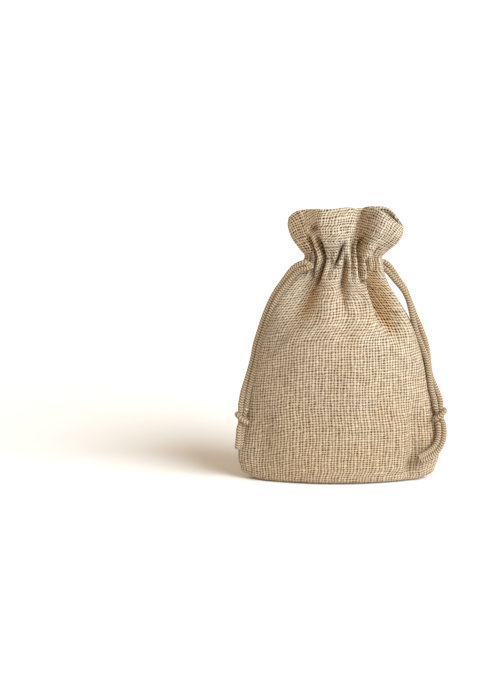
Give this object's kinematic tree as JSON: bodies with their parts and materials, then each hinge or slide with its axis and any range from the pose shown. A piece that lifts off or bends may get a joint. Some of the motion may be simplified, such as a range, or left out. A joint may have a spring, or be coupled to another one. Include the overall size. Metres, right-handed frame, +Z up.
{
  "type": "burlap drawstring sack",
  "caption": "Small burlap drawstring sack standing filled out, its neck drawn together by knotted cords and its header flared as a ruffle; it holds small goods.",
  "frame": {"origin": "middle of the flat base, on the surface that the sack stands on", "axes": "+Z up from the base to the ruffled edge, +X towards the side seam on the right as seen from the front, -Y out of the front"},
  "size_m": [0.1009, 0.052, 0.1308],
  "materials": {
    "burlap": "matt plain weave of light jute-coloured yarn",
    "cord": "matt braided cord"
  },
  "bodies": {
    "root": {"sack_cloth": "burlap", "cord_right_front": "cord", "cord_right_back": "cord", "cord_left_front": "cord", "cord_left_back": "cord", "tail_right_upper": "cord", "tail_right_lower": "cord", "tail_left_front": "cord", "tail_left_back": "cord", "knot_right": "cord", "knot_left": "cord"}
  },
  "joints": []
}
